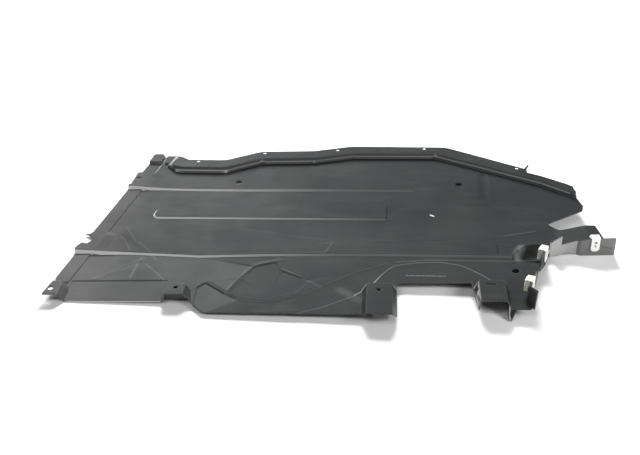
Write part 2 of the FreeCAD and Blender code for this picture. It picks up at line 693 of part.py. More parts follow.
def arm_bead():
    """Thin falling bead on the front of the arm's wall, past the clip nut."""
    outer_y = -arm_bead_proud - wall / 2
    end_drop = arm_bead_drop + arm_bead_fall
    side = [vec(0, outer_y, -arm_bead_drop), vec(arm_bead_length, outer_y, -end_drop),
            vec(arm_bead_length, outer_y, -end_drop - arm_bead_tall),
            vec(0, outer_y, -arm_bead_drop - arm_bead_tall)]
    face = Part.Face(Part.makePolygon(side + side[:1]))
    ridge = face.extrude(vec(0, arm_bead_proud + wall / 2, 0))
    line = arm_wall_line()
    dx, dy = unit(line[2], line[3])
    start = (line[2][0] + dx * arm_bead_start, line[2][1] + dy * arm_bead_start)
    return place_on_wall(ridge, start, (dx, dy), arm_rise)


def free_end_round():
    """Corner pieces cut off the free end of the arm's wall."""
    radius = corner_round / 2
    block = Part.makeBox(radius, 4 * arm_kink_y, radius,
                         vec(arm_wall_end_x - radius, -arm_kink_y, arm_rise - radius))
    rod = Part.makeCylinder(radius, 4 * arm_kink_y,
                            vec(arm_wall_end_x - radius, -arm_kink_y, arm_rise - radius), vec(0, 1, 0))
    return block.cut(rod)


def right_gusset():
    """Side wall of the second tab down to the floor, with the corner web at its front."""
    base = -apron_depth
    tip = vec(gusset_x + gusset_tip_shift, gusset_tip_y, floor_height(gusset_x, gusset_tip_y))
    root = vec(gusset_x + gusset_width, nose_right_y + wall / 2, base)
    head = base + second_tab_rise * (second_tab_right_x - gusset_x) / front_tab_draft - wall / 2
    back_y = second_tab_back_y - 2 * front_tab_draft
    side = [vec(0, nose_right_y, head), vec(0, tip.y, tip.z), vec(0, tip.y + gusset_foot, tip.z),
            vec(0, back_y, base - wall), vec(0, back_y, head)]
    plate = Part.Face(Part.makePolygon(side + side[:1])).extrude(vec(wall, 0, 0))
    plate.translate(vec(gusset_x - wall, 0, 0))
    upper = vec(gusset_x - wall, nose_right_y, base)
    front = Part.makePolygon([upper, tip, root, upper])
    return plate.fuse(Part.Face(front).extrude(vec(0, wall, 0)))


def edge_walls():
    """Upright flap at the nose, side wall behind it and the wall beside the bowl."""
    half = wall / 2
    nose = (nose_right_x - half, nose_right_y + wall)
    foot = (edge_foot_x - half, edge_foot_y + half)
    post = (edge_post_x - half, edge_post_y)
    dx, dy = unit(nose, foot)
    base = -apron_depth - wall
    flap = upright([nose, foot], base, flap_rise - apron_depth, (dy * flap_lean, dx * flap_lean / 2))
    side = upright([foot, post], base, side_wall_rise - apron_depth)
    bowl_wall = upright([(bowl_wall_front_x - half, bowl_wall_front_y),
                         (bowl_wall_back_x - half, bowl_wall_back_y)],
                        -bowl_depth - wall, bowl_wall_rise)
    return flap.fuse(side).fuse(bowl_wall)


def upright_hole(x, y, radius):
    return Part.makeCylinder(radius, 2 * trim_height, vec(x, y, -trim_height))


def holes():
    """Screw holes, drain holes and the slot, as one cutting shape."""
    cutters = [upright_hole(ear_hole_x, ear_hole_y, wide_hole_radius),
               upright_hole(corner_tab_hole_x, corner_tab_hole_y, wide_hole_radius),
               upright_hole(box_tab_hole_x, box_tab_hole_y, tab_hole_radius),
               upright_hole(first_tab_hole_x, first_tab_hole_y, tab_hole_radius)]
    for x, y in flange_holes:
        cutters.append(upright_hole(x, y, flange_hole_radius))
    for x, y in drain_holes:
        cutters.append(upright_hole(x, y, drain_hole_radius))
    half = slot_length / 2
    round_end = slot_width / 2 - 0.01
    slot = [(slot_x - half, slot_y - slot_width / 2, round_end),
            (slot_x + half, slot_y - slot_width / 2, round_end),
            (slot_x + half, slot_y + slot_width / 2, round_end),
            (slot_x - half, slot_y + slot_width / 2, round_end)]
    cutters.append(prism(slot, -trim_height, trim_height))
    return cutters


def pips():
    """Row of low eight-sided pips left by the mould on the apron."""
    row = []
    for i in range(pip_count):
        ring = []
        for turn in range(0, 360, 45):
            place = vec(pip_row_x + i * pip_pitch, pip_row_y, -apron_depth - hollow_depth - wall / 2)
            ring.append(place + vec(pip_size / 2 * math.cos(math.radians(turn)),
                                    pip_size / 2 * math.sin(math.radians(turn))))
        face = Part.Face(Part.makePolygon(ring + ring[:1]))
        row.append(face.extrude(vec(0, 0, pip_height + wall / 2)))
    return row


# Clip nuts
def clip_places():
    """Name, wall point at the middle of the clip, direction along the wall and top height."""
    line = arm_wall_line()
    start = line[2]
    dx, dy = unit(line[2], line[3])
    arm = (start[0] + dx * arm_clip_along, start[1] + dy * arm_clip_along)
    half = wall / 2
    low = (bowl_wall_front_x - half, bowl_wall_front_y)
    high = (bowl_wall_back_x - half, bowl_wall_back_y)
    bx, by = unit(low, high)
    bowl = (low[0] + bx * bowl_clip_along, low[1] + by * bowl_clip_along)
    foot = (edge_foot_x - half, edge_foot_y + half)
    post = (edge_post_x - half, edge_post_y)
    sx, sy = unit(foot, post)
    side = (foot[0] + sx * side_clip_along, foot[1] + sy * side_clip_along)
    return [("arm_clip_nut", arm, (dx, dy), arm_rise),
            ("bowl_clip_nut", bowl, (bx, by), bowl_wall_rise),
            ("side_clip_nut", side, (sx, sy), side_wall_rise - apron_depth)]


def place_on_wall(shape, point, direction, top):
    shape.rotate(vec(0, 0), vec(0, 0, 1), math.degrees(math.atan2(direction[1], direction[0])))
    shape.translate(vec(point[0], point[1], top))
    return shape


def clip_leg_plate(near, length):
    """One leg: a plate with rounded lower corners, hanging from the top edge."""
    half = clip_width / 2
    top = clip_play + clip_leg
    corners = [(-half, -length, clip_round), (half, -length, clip_round),
               (half, top, 1.0), (-half, top, 1.0)]
    plate = prism(corners, 0.0, clip_leg)
    plate.rotate(vec(0, 0), vec(1, 0, 0), 90)
    plate.translate(vec(0, near + clip_leg, 0))
    return plate


def clip_nut():
    """A clip in its own place: wall along X, its top edge at the origin, screw block behind."""
    gap = wall / 2 + clip_play
    half = clip_width / 2
    front = clip_leg_plate(-gap - clip_leg, clip_leg_length)
    back = clip_leg_plate(gap, clip_leg_length)
    depth = 2 * (gap + clip_leg) + clip_block_thick - clip_head_short
    bridge = Part.makeBox(clip_width, depth, clip_head, vec(-half, -gap - clip_leg, clip_play))
    block_low = -clip_bore_drop - clip_block_height / 2
    block_half = half - clip_leg / 2
    block = [(-block_half, block_low, clip_leg), (block_half, block_low, clip_leg),
             (block_half, clip_play, 0.0), (-block_half, clip_play, 0.0)]
    barrel = prism(block, 0.0, clip_block_thick)
    barrel.rotate(vec(0, 0), vec(1, 0, 0), 90)
    barrel.translate(vec(0, gap + clip_leg + clip_block_thick, 0))
    body = front.fuse(back).fuse(bridge).fuse(barrel)
    far_y = gap + clip_leg + clip_block_thick - clip_rib_depth
    for i in range(clip_ribs):
        groove_z = block_low + clip_leg + i * clip_rib_pitch
        body = body.cut(Part.makeBox(clip_width, clip_leg, clip_rib_width, vec(-half, far_y, groove_z)))
    reach = 2 * (gap + clip_leg + clip_block_thick)
    bore = Part.makeCylinder(clip_bore_radius, reach, vec(0, -reach / 2, -clip_bore_drop), vec(0, 1, 0))
    window = Part.makeBox(clip_window_width, clip_leg + gap, clip_window_height,
                          vec(-clip_window_width / 2, -2 * gap - clip_leg,
                              -clip_bore_drop / 2 - clip_window_height / 2))
    return body.cut(bore).cut(window).removeSplitter()


def clip_passages():
    """Holes in the walls behind the clip screws, and the slot for the clip's back leg in the arm."""
    cutters = []
    for _, point, direction, top in clip_places():
        reach = 6 * wall
        hole = Part.makeCylinder(clip_bore_radius + clip_passage, reach,
                                 vec(0, -reach / 2, -clip_bore_drop), vec(0, 1, 0))
        cutters.append(place_on_wall(hole, point, direction, top))
    _, point, direction, top = clip_places()[0]
    gap = wall / 2
    width = clip_width + 2 * clip_slot_play
    depth = clip_leg + clip_block_thick + 2 * clip_slot_play
    slot = Part.makeBox(width, depth, trim_height, vec(-width / 2, gap, -trim_height / 2))
    cutters.append(place_on_wall(slot, point, direction, top))
    return cutters


# The moulded shield
def shield_panel():
    corners = sheet_corners()
    limits = prism(corners, -trim_height, trim_height)
    sheet = prism(corners, -wall, 0.0)
    sheet = sink_area(sheet, limits, apron_area(), 0.0, apron_depth, apron_draft)
    sheet = sink_area(sheet, limits, band_area(), 0.0, band_depth, band_draft)
    sheet = sink_area(sheet, limits, facet_corners, 0.0, facet_depth, facet_draft)
    sheet = sink_area(sheet, limits, hollow_area(), -apron_depth, hollow_depth, hollow_draft)
    sheet = raise_area(sheet, limits, strip_area(), 0.0, strip_rise, strip_draft)
    sheet = raise_area(sheet, limits, ledge_area(), 0.0, ledge_rise, flange_draft)
    upper = flange_rise - ledge_rise
    sheet = raise_area(sheet, limits, flange_area(), ledge_rise, upper, flange_draft, flange_top())
    pad = open_back_area(corner_pad_left_x - far_out, corner_pad_right_x, corner_pad_y)
    sheet = raise_area(sheet, limits, pad, 0.0, corner_pad_rise, corner_pad_draft)
    step = open_back_area(step_pad_left_x, step_pad_right_x, step_pad_y, skew=far_out / 4)
    sheet = raise_area(sheet, limits, step, 0.0, step_pad_rise, step_pad_draft)
    sheet = raise_area(sheet, limits, corner_tab_area(), 0.0, tab_rise, corner_tab_draft)
    sheet = raise_area(sheet, limits, box_tab_foot(), 0.0, box_tab_rise, box_tab_right_draft,
                       box_tab_top())
    sheet = sheet.fuse(box_tab_front().common(limits))
    first = front_tab_area(first_tab_left_x, first_tab_right_x, first_tab_back_y)
    sheet = raise_area(sheet, limits, first, -apron_depth, tab_rise, front_tab_draft)
    sheet = raise_area(sheet, limits, second_tab_foot(), -apron_depth, second_tab_rise, front_tab_draft,
                       inset(front_tab_area(second_tab_left_x, second_tab_right_x, second_tab_back_y),
                             front_tab_draft))
    sheet = raise_area(sheet, limits, plateau_area(), 0.0, plateau_rise, plateau_draft)
    sheet = raise_area(sheet, limits, swell_area(), 0.0, swell_rise, swell_draft)
    sheet = add_bead(sheet, limits, bead_stations(back_bead_y, back_bead))
    sheet = add_bead(sheet, limits, bead_stations(front_bead_y, front_bead))
    sheet = add_bowl(sheet, limits)
    sheet = sheet.cut(arm_floor_gap()).fuse(arm_plate(limits))
    sheet = sheet.fuse([strip_blend(front, back) for front, back in blend_runs])
    sheet = sheet.fuse([arm_wall(), arm_bead(), right_gusset(), edge_walls()] + pips())
    sheet = sheet.cut([free_end_round(), arm_arch(), below_floor()] + holes() + clip_passages())
    return sheet.removeSplitter()


def all_nodes():
    """Every piece in the sheet's own plane, by name."""
    nodes = {"shield_panel": shield_panel()}
    for name, point, direction, top in clip_places():
        nodes[name] = place_on_wall(clip_nut(), point, direction, top)
    return nodes


def settle(nodes):
    """Lays the pieces on the floor and puts the origin under the middle of their box."""
    box = FreeCAD.BoundBox()
    for shape in nodes.values():
        lay_down(shape)
        box.add(shape.optimalBoundingBox(False))
    shift = vec(-(box.XMin + box.XMax) / 2, -(box.YMin + box.YMax) / 2, -box.ZMin)
    for shape in nodes.values():
        shape.translate(shift)
    return shift


nodes = all_nodes()
origin_shift = settle(nodes)
os.makedirs("parts", exist_ok=True)
for node, shape in nodes.items():
    shape.exportStep("parts/" + node + ".step")
    box = shape.BoundBox
    print(node, "solids", len(shape.Solids), "valid", shape.isValid(), "volume", round(shape.Volume, 1),
          "box", [round(v, 1) for v in (box.XMin, box.YMin, box.ZMin, box.XMax, box.YMax, box.ZMax)])
print("origin shift", origin_shift)
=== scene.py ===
import bmesh
import bpy
import math
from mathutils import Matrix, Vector


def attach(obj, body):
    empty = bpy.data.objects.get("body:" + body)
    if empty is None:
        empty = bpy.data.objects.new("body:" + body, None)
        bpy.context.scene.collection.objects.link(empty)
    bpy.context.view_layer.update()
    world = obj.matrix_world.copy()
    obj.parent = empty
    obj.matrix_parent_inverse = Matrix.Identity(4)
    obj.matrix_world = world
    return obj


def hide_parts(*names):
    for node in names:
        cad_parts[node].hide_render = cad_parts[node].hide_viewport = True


# The shield comes from the frame. All sizes below are metres in the frame's own axes, and the
# frame's box is kept so that the finished model can be compared with it.
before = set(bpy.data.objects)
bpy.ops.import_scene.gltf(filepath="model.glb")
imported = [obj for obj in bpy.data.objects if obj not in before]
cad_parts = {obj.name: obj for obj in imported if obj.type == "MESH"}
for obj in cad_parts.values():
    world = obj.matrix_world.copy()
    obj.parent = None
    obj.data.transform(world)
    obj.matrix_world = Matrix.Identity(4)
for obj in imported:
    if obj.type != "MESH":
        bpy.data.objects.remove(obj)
scene = bpy.context.scene
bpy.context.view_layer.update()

# Moulded shield: one dark grey polypropylene sheet, 2.5 mm thick, with a stepped back flange, beads,
# tabs, bowl and arm. The frame's mesh is copied and its loose triangles are joined, so that the
# moulded rounds shade smoothly while the pressed corners stay crisp.
merge_distance = 1e-5
shortest_edge = 1e-6
narrow_width = 0.0015
flat_angle = math.radians(1.0)


def joined_copy(node, name, crisp_degrees):
    """A copy of a frame node, joined, with narrow or curved triangles smooth and corners crisp."""
    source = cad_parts[node]
    mesh = bpy.data.meshes.new(name)
    bm = bmesh.new()
    bm.from_mesh(source.data)
    bmesh.ops.remove_doubles(bm, verts=bm.verts, dist=merge_distance)
    bmesh.ops.dissolve_degenerate(bm, dist=shortest_edge, edges=bm.edges)
    for face in bm.faces:
        narrow = face.calc_area() < narrow_width * max(edge.calc_length() for edge in face.edges)
        curved = all(edge.calc_face_angle(0.0) > flat_angle for edge in face.edges)
        face.smooth = narrow or curved
    for edge in bm.edges:
        edge.smooth = len(edge.link_faces) == 2 and edge.calc_face_angle() < math.radians(crisp_degrees)
    bm.to_mesh(mesh)
    bm.free()
    piece = bpy.data.objects.new(name, mesh)
    scene.collection.objects.link(piece)
    return piece


sheet = joined_copy("shield_panel", "moulded_sheet", crisp_degrees=24)

# Painted highlight: pale colour on the slopes and rounds that face the front, where light from the
# front left falls on them. It fades along the shield from the left to the right.
highlight_places = [(-0.52, 1.0), (-0.27, 0.8), (-0.13, 0.45), (0.0, 0.2), (0.4, 0.12)]
bead_round_share = 0.5
bead_round_least = 0.05

# Limits on a face's normal. Its y is below front_limit where it looks to the front, below lip_limit
# where it stands upright there, below bead_limit on the front round of a bead and above back_limit
# where it looks back. Its z is above slope_limit on a slope and between the last two on a round.
front_limit = -0.45
lip_limit = -0.9
bead_limit = -0.1
back_limit = 0.3
slope_limit = 0.5
round_steepest = 0.2
round_flattest = 0.93

# Regions of the sheet in plan that have a painted highlight of their own
arm_wall_start_x = 0.405
arm_wall_bend_x = 0.4685
arm_wall_back_y = 0.0
apron_back_y = -0.13
tab_back_y = -0.19
tab_spans = [(0.035, 0.125), (0.245, 0.335)]
band_left_x = -0.46
band_right_x = -0.2
box_tab_left_x = -0.325
pip_left_x = 0.13
pip_right_x = 0.26
pip_face_area = 8e-6
bowl_left_x = 0.355
bowl_right_x = 0.405
bowl_back_y = -0.04
flange_front_y = 0.17
flange_end_x = 0.38

# The sheet's own up direction, and how far along it the upper wall of the flange starts
sheet_up = Vector((-0.0214, 0.0044, 0.9998))
upper_wall_level = 0.0185

# Painted highlight in those regions
arm_wall_left_highlight = 0.62
arm_wall_fade = 0.27
arm_wall_right_highlight = 0.17
tab_round_highlight = 0.4
front_lip_highlight = 0.9
band_highlight = 0.03
pip_highlight = 0.12
apron_slope_highlight = 0.12
upper_wall_highlight = 0.12
lower_wall_highlight = 0.04
flange_round_highlight = 0.35


def is_round(face):
    """Whether a face belongs to a moulded round: smooth, and neither level nor upright."""
    return face.use_smooth and round_steepest < face.normal.z < round_flattest


def faces_front(face):
    """Whether a face looks clearly towards the front."""
    return face.normal.y < front_limit


def leans(face):
    """Whether a face is a slope rather than an upright wall."""
    return face.normal.z > slope_limit


def highlight_at(x):
    """Painted highlight at a place along the shield, from the two listed places around it."""
    for (start, first), (end, last) in zip(highlight_places, highlight_places[1:]):
        if x < end:
            return first + (last - first) * max(x - start, 0.0) / (end - start)
    return highlight_places[-1][1]


def apron_highlight(face):
    """Painted highlight of a face in front of the front bead: strong on the tabs and the left front lip."""
    middle = face.center
    if middle.y < tab_back_y and any(left < middle.x < right for left, right in tab_spans):
        return tab_round_highlight if is_round(face) else 0.0
    if middle.x < band_right_x:
        on_lip = face.normal.y < lip_limit and band_left_x < middle.x < box_tab_left_x
        return front_lip_highlight if on_lip else band_highlight
    if pip_left_x < middle.x < pip_right_x and face.area < pip_face_area:
        return pip_highlight
    return apron_slope_highlight if is_round(face) or faces_front(face) and leans(face) else 0.0


def flange_highlight(face):
    """Painted highlight of a face of the back flange: its upper wall gets more painted light than the lower
    one.
    """
    if faces_front(face):
        return upper_wall_highlight if sheet_up.dot(face.center) > upper_wall_level else lower_wall_highlight
    return flange_round_highlight if is_round(face) and face.normal.y < back_limit else 0.0


def face_highlight(face, x):
    """Painted highlight of a face at a place along the shield."""
    slope = face.normal
    middle = face.center
    # Painted highlight on the arm's front wall, strongest at its left end
    if faces_front(face) and middle.x > arm_wall_start_x and middle.y < arm_wall_back_y:
        fade = min((x - arm_wall_start_x) / (arm_wall_bend_x - arm_wall_start_x), 1.0)
        left_of_bend = middle.x < arm_wall_bend_x
        return arm_wall_left_highlight - arm_wall_fade * fade if left_of_bend else arm_wall_right_highlight
    if middle.y < apron_back_y:
        return apron_highlight(face)
    if bowl_left_x < middle.x < bowl_right_x and middle.y < bowl_back_y:
        return 0.0
    if min(slope.x, slope.y) < front_limit and leans(face):
        return highlight_at(x)
    if middle.y > flange_front_y or middle.x > flange_end_x and middle.y > arm_wall_back_y:
        return flange_highlight(face)
    if is_round(face) and slope.y < bead_limit and abs(slope.x) < abs(slope.y):
        return bead_round_share * highlight_at(x) + bead_round_least
    return 0.0


# The painted highlight of each face, kept on its corners
painted_highlight = sheet.data.attributes.new("painted_highlight", "FLOAT", "CORNER")
for face in sheet.data.polygons:
    for corner in face.loop_indices:
        x = sheet.data.vertices[sheet.data.loops[corner].vertex_index].co.x
        painted_highlight.data[corner].value = face_highlight(face, x)


def new_group(name, inputs, outputs):
    """An empty shader group with named sockets: inputs (name, kind, default), outputs (name, kind)."""
    group = bpy.data.node_groups.new(name, "ShaderNodeTree")
    for title, kind, value in inputs:
        socket = group.interface.new_socket(title, in_out="INPUT", socket_type="NodeSocket" + kind)
        socket.default_value = value
    for title, kind in outputs:
        group.interface.new_socket(title, in_out="OUTPUT", socket_type="NodeSocket" + kind)
    return group, group.nodes.new("NodeGroupInput"), group.nodes.new("NodeGroupOutput")


def math_node(tree, operation, first, second=None, clamp=False):
    """A math node whose inputs are sockets or numbers; returns its result."""
    node = tree.nodes.new("ShaderNodeMath")
    node.operation = operation
    node.use_clamp = clamp
    for socket, value in zip(node.inputs, (first, second)):
        if isinstance(value, (int, float)):
            socket.default_value = value
        elif value is not None:
            tree.links.new(value, socket)
    return node.outputs[0]


def vector_node(tree, operation, first, second=None):
    """A vector math node whose inputs are sockets or tuples; returns the node."""
    node = tree.nodes.new("ShaderNodeVectorMath")
    node.operation = operation
    for socket, value in zip(node.inputs, (first, second)):
        if isinstance(value, tuple):
            socket.default_value = value
        elif value is not None:
            tree.links.new(value, socket)
    return node


def noise_node(tree, place, size, detail, roughness=0.55, stretch=None):
    """Noise with features about size metres across."""
    if stretch is not None:
        mapping = tree.nodes.new("ShaderNodeMapping")
        mapping.inputs["Scale"].default_value = stretch
        tree.links.new(place, mapping.inputs["Vector"])
        place = mapping.outputs[0]
    node = tree.nodes.new("ShaderNodeTexNoise")
    node.inputs["Scale"].default_value = 1.0 / size
    node.inputs["Detail"].default_value = detail
    node.inputs["Roughness"].default_value = roughness
    tree.links.new(place, node.inputs["Vector"])
    return node.outputs["Fac"]


def ramp_node(tree, value, low, high, to_low=0.0, to_high=1.0):
    """Stretches a value from low..high to to_low..to_high with soft ends."""
    node = tree.nodes.new("ShaderNodeMapRange")
    node.interpolation_type = "SMOOTHSTEP"
    for title, number in (("From Min", low), ("From Max", high), ("To Min", to_low), ("To Max", to_high)):
        node.inputs[title].default_value = number
    tree.links.new(value, node.inputs["Value"])
    return node.outputs["Result"]


def edge_group():
    """How much a place lies on a rounded corner, and the normal of that corner."""
    group, given, result = new_group("corner_highlight", [("Radius", "Float", 0.001)],
                                     [("Corner", "Float"), ("Normal", "Vector")])
    bevel = group.nodes.new("ShaderNodeBevel")
    bevel.samples = 6
    group.links.new(given.outputs["Radius"], bevel.inputs["Radius"])
    geometry = group.nodes.new("ShaderNodeNewGeometry")
    near = vector_node(group, "DOT_PRODUCT", bevel.outputs[0], geometry.outputs["Normal"]).outputs["Value"]
    group.links.new(ramp_node(group, near, 0.97, 0.78), result.inputs["Corner"])
    group.links.new(bevel.outputs[0], result.inputs["Normal"])
    return group


def dust_group():
    """Grey road dust: patches, faint drag streaks and fine specks."""
    group, given, result = new_group("road_dust", [("Place", "Vector", (0, 0, 0))],
                                     [("Patches", "Float"), ("Streaks", "Float"), ("Specks", "Float")])
    place = given.outputs["Place"]
    patches = noise_node(group, place, size=0.16, detail=5.0)
    group.links.new(ramp_node(group, patches, 0.35, 0.72), result.inputs["Patches"])
    streaks = noise_node(group, place, size=0.02, detail=6.0, roughness=0.6, stretch=(0.18, 1.0, 1.0))
    group.links.new(ramp_node(group, streaks, 0.48, 0.75), result.inputs["Streaks"])
    specks = noise_node(group, place, size=0.0025, detail=2.0)
    group.links.new(ramp_node(group, specks, 0.66, 0.78), result.inputs["Specks"])
    return group


corners = edge_group()
dust = dust_group()

# Lines of the used sheet in plan, each with its points, half width and strength: pressed ones are
# heights in metres, where positive ones stand up; pale and dark ones are shares of a colour.
pressed_lines = [
    # Hollow between the fine folds behind the left end of the front bead, and a fold in front of it
    ([(-0.4473, -0.0543), (-0.4093, -0.0963)], 0.016, -0.0006),
    ([(-0.3893, -0.1393), (-0.4643, -0.2033)], 0.007, 0.0005),
    # Soft fold that runs back from the bulge and the crease at its left foot
    ([(-0.2023, -0.2313), (-0.1663, -0.1533), (-0.1173, -0.1313)], 0.009, 0.0004),
    ([(-0.2413, -0.2113), (-0.1893, -0.2563)], 0.009, -0.0008),
    # Dent behind the right end of the beads and a crease across them
    ([(0.3037, 0.2017), (0.2997, 0.1097)], 0.016, -0.0012),
    ([(0.3297, -0.0363), (0.3917, -0.0173)], 0.006, 0.0006),
]
pale_lines = [
    # Fan of fine folds behind the left end of the front bead
    ([(-0.4753, -0.0503), (-0.4493, -0.0533), (-0.4343, -0.0713), (-0.4153, -0.1093)], 0.003, 0.035),
    ([(-0.4423, -0.0223), (-0.4143, -0.0703), (-0.3893, -0.0933), (-0.3753, -0.1103)], 0.003, 0.035),
    # Folds and scratches in front of that bead
    ([(-0.3853, -0.1313), (-0.3963, -0.1533), (-0.4643, -0.2033)], 0.006, 0.04),
    ([(-0.3913, -0.1533), (-0.3963, -0.1953)], 0.004, 0.06),
    ([(-0.3753, -0.1513), (-0.3223, -0.2113)], 0.0025, 0.05),
    ([(-0.3683, -0.1253), (-0.3563, -0.1383)], 0.003, 0.06),
    # Fold that runs back from the bulge, the thin one beside it and smudges on the bulge
    ([(-0.2063, -0.2413), (-0.2003, -0.2203), (-0.1643, -0.1523),
      (-0.1463, -0.1383), (-0.1173, -0.1313)], 0.006, 0.035),
    ([(-0.1083, -0.1593), (-0.0773, -0.1793), (-0.0313, -0.2153)], 0.002, 0.06),
    ([(0.0067, -0.2223), (0.0447, -0.2513)], 0.016, 0.04),
    # White scuff and light crease on the right part
    ([(0.1837, 0.0387), (0.1897, 0.0347)], 0.003, 0.8),
    ([(0.3297, -0.0363), (0.3507, -0.0293), (0.3917, -0.0173)], 0.004, 0.025),
    # Painted highlight along the narrow ledge between the two walls of the flange
    ([(-0.3813, 0.2067), (-0.3653, 0.2042), (-0.2673, 0.2042)], 0.0023, 0.75),
    ([(-0.2673, 0.2042), (-0.1903, 0.2457), (-0.0713, 0.2517)], 0.0023, 0.5),
    ([(-0.0713, 0.2517), (0.0147, 0.2747), (0.2027, 0.2782), (0.2827, 0.2387),
      (0.4227, 0.1667), (0.4807, 0.1247)], 0.0023, 0.35),
    # Painted highlight on the left flank of the bowl and on the left end of the flange
    ([(0.3497, -0.1143), (0.3477, -0.0943), (0.3587, -0.0743)], 0.013, 0.13),
    ([(-0.3933, 0.2267), (-0.3813, 0.2567)], 0.004, 0.3),
]
dark_lines = [
    # Painted shade in the hollow of the fan, the crease at the foot of the bulge and the dent, and two dark
    # marks across the middle
    ([(-0.4473, -0.0543), (-0.4093, -0.0963)], 0.016, 0.3),
    ([(-0.2413, -0.2113), (-0.2033, -0.2413), (-0.1893, -0.2563)], 0.007, 0.4),
    ([(0.3037, 0.2017), (0.2997, 0.1097)], 0.016, 0.25),
    ([(-0.0853, 0.0047), (-0.0923, -0.0613)], 0.01, 0.25),
    ([(-0.0893, 0.0857), (-0.0903, 0.0557)], 0.01, 0.25),
]


def lines_group(name, lines):
    """The sum of soft lines, each as strong as its strength on the line and zero beyond its width."""
    group, given, result = new_group(name, [("Place", "Vector", (0, 0, 0))], [("Sum", "Float")])
    flat = vector_node(group, "MULTIPLY", given.outputs["Place"], (1.0, 1.0, 0.0)).outputs[0]
    total = 0.0
    for points, width, strength in lines:
        gap = width
        for start, end in zip(points, points[1:]):
            run = Vector((end[0] - start[0], end[1] - start[1], 0.0))
            reach = vector_node(group, "SUBTRACT", flat, (start[0], start[1], 0.0)).outputs[0]
            per_length = tuple(run / run.length_squared)
            share = vector_node(group, "DOT_PRODUCT", reach, per_length).outputs["Value"]
            nearest = vector_node(group, "SCALE", tuple(run))
            group.links.new(math_node(group, "ADD", share, 0.0, clamp=True), nearest.inputs["Scale"])
            distance = vector_node(group, "DISTANCE", reach, nearest.outputs[0]).outputs["Value"]
            gap = math_node(group, "MINIMUM", gap, distance)
        total = math_node(group, "ADD", total, ramp_node(group, gap, 0.0, width, strength, 0.0))
    group.links.new(total, result.inputs["Sum"])
    return group


def lines_value(tree, place, group):
    """The value of a group of lines at a place."""
    node = tree.nodes.new("ShaderNodeGroup")
    node.node_tree = group
    tree.links.new(place, node.inputs["Place"])
    return node.outputs["Sum"]


def mix_colors(tree, share, first, second):
    """Mixes two colours, each a socket or a constant, by a share."""
    node = tree.nodes.new("ShaderNodeMix")
    node.data_type = "RGBA"
    tree.links.new(share, node.inputs[0])
    for socket, value in ((node.inputs[6], first), (node.inputs[7], second)):
        if isinstance(value, tuple):
            socket.default_value = value
        else:
            tree.links.new(value, socket)
    return node.outputs[2]


def new_material(name):
    """A material with its node tree, its surface shader and the place on the piece."""
    material = bpy.data.materials.new(name)
    material.use_nodes = True
    tree = material.node_tree
    shader = tree.nodes["Principled BSDF"]
    place = tree.nodes.new("ShaderNodeTexCoord").outputs["Object"]
    return material, tree, shader, place


def corner_node(tree, radius):
    """The corner group with a radius for the rounded corners."""
    node = tree.nodes.new("ShaderNodeGroup")
    node.node_tree = corners
    node.inputs["Radius"].default_value = radius
    return node


def connect_bump(tree, shader, edge, height):
    """Bumps a surface by a height in metres, on top of its rounded corners."""
    bump = tree.nodes.new("ShaderNodeBump")
    bump.inputs["Strength"].default_value = 1.0
    bump.inputs["Distance"].default_value = 1.0
    tree.links.new(height, bump.inputs["Height"])
    tree.links.new(edge.outputs["Normal"], bump.inputs["Normal"])
    tree.links.new(bump.outputs[0], shader.inputs["Normal"])


shield_grey = (0.014, 0.0152, 0.016, 1.0)
faded_grey = (0.021, 0.0222, 0.023, 1.0)
dust_and_sheen_grey = (0.105, 0.104, 0.1, 1.0)
corner_highlight_grey = (0.26, 0.265, 0.27, 1.0)
scuff_and_highlight_grey = (0.82, 0.82, 0.82, 1.0)
shade_and_stain_grey = (0.008, 0.008, 0.009, 1.0)
shield_corner_radius = 0.003
patch_share = 0.07
streak_share = 0.1
speck_share = 0.2
highlight_share = 0.95
# Painted highlight on the rounded corners, from a larger share at the left to a smaller one at the right
highlight_left_x = -0.45
highlight_left_share = 0.85
highlight_right_x = 0.1
highlight_right_share = 0.4
# Painted sheen: the left end is made paler with the dust grey
left_sheen_start_x = -0.38
left_sheen_full_x = -0.52
left_sheen_share = 0.36
sheen_roughness = 0.39
dull_roughness = 0.46
grain_height = 0.00005
wave_height = 0.002

# Base colour of the sheet: faded tone, dust, a painted highlight on the rounded corners and a painted
# sheen that pales the left end, then the painted highlight of the front-facing faces and the pale and
# dark lines, which hold scuffs, folds and marks as well as painted highlights and painted shade
shield_plastic, tree, shader, place = new_material("dark moulded polypropylene")
edge = corner_node(tree, shield_corner_radius)
dirt = tree.nodes.new("ShaderNodeGroup")
dirt.node_tree = dust
tree.links.new(place, dirt.inputs["Place"])
fading = ramp_node(tree, noise_node(tree, place, size=0.5, detail=2.0), 0.3, 0.7)
color = mix_colors(tree, fading, shield_grey, faded_grey)
for title, share in (("Patches", patch_share), ("Streaks", streak_share), ("Specks", speck_share)):
    color = mix_colors(tree, math_node(tree, "MULTIPLY", dirt.outputs[title], share), color, dust_and_sheen_grey)
along = tree.nodes.new("ShaderNodeSeparateXYZ")
tree.links.new(place, along.inputs[0])
# Painted highlight on the rounded corners, stronger at the left where more light falls
highlight_along = ramp_node(tree, along.outputs["X"], highlight_left_x, highlight_right_x, highlight_left_share, highlight_right_share)
corner_highlight = math_node(tree, "MULTIPLY", edge.outputs["Corner"], highlight_along)
# Painted sheen that pales the left end of the sheet
left_sheen = ramp_node(tree, along.outputs["X"], left_sheen_start_x, left_sheen_full_x, to_high=left_sheen_share)
color = mix_colors(tree, left_sheen, color, dust_and_sheen_grey)
color = mix_colors(tree, corner_highlight, color, corner_highlight_grey)
